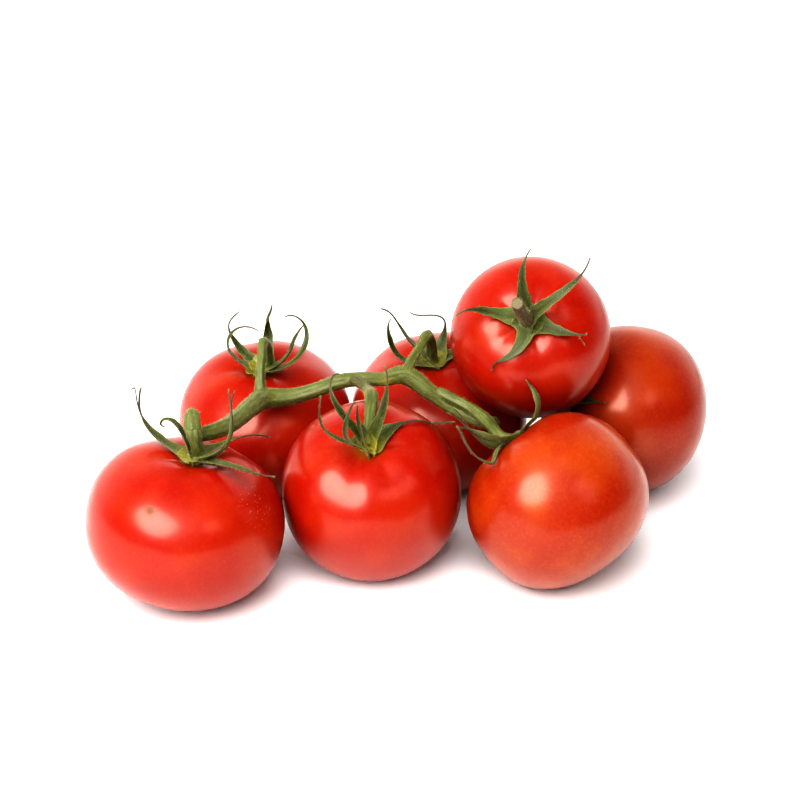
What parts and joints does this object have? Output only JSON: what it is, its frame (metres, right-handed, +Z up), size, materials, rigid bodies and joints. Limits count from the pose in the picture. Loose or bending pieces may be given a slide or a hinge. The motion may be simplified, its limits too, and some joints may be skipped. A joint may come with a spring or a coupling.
{
  "type": "truss of tomatoes",
  "caption": "Bunch of ripe red tomatoes on their green vine, lying on a flat surface with one loose fruit resting on top.",
  "frame": {"origin": "middle of the bunch's bounding box on the surface it lies on", "axes": "+X to the right along the rows of fruit, +Z up, seen from -Y"},
  "size_m": [0.2098, 0.1398, 0.1076],
  "materials": {
    "skin_red": "smooth waxy fruit skin, glossy",
    "skin_orange_red": "smooth waxy fruit skin, glossy, a little less ripe",
    "skin_brown_red": "smooth waxy fruit skin, glossy, brownish",
    "calyx_green": "matte green leaf, finely hairy",
    "stem_green": "matte green stem, finely hairy"
  },
  "bodies": {
    "root": {"fruit_front_left": "skin_red", "fruit_back_left": "skin_red", "fruit_front_middle": "skin_red", "fruit_back_middle": "skin_red", "fruit_front_right": "skin_orange_red", "fruit_back_right": "skin_brown_red", "fruit_top": "skin_red", "calyx_front_left": "calyx_green", "calyx_back_left": "calyx_green", "calyx_front_middle": "calyx_green", "calyx_back_middle": "calyx_green", "calyx_front_right": "calyx_green", "calyx_back_right": "calyx_green", "calyx_top": "calyx_green", "stem": "stem_green"}
  },
  "joints": []
}
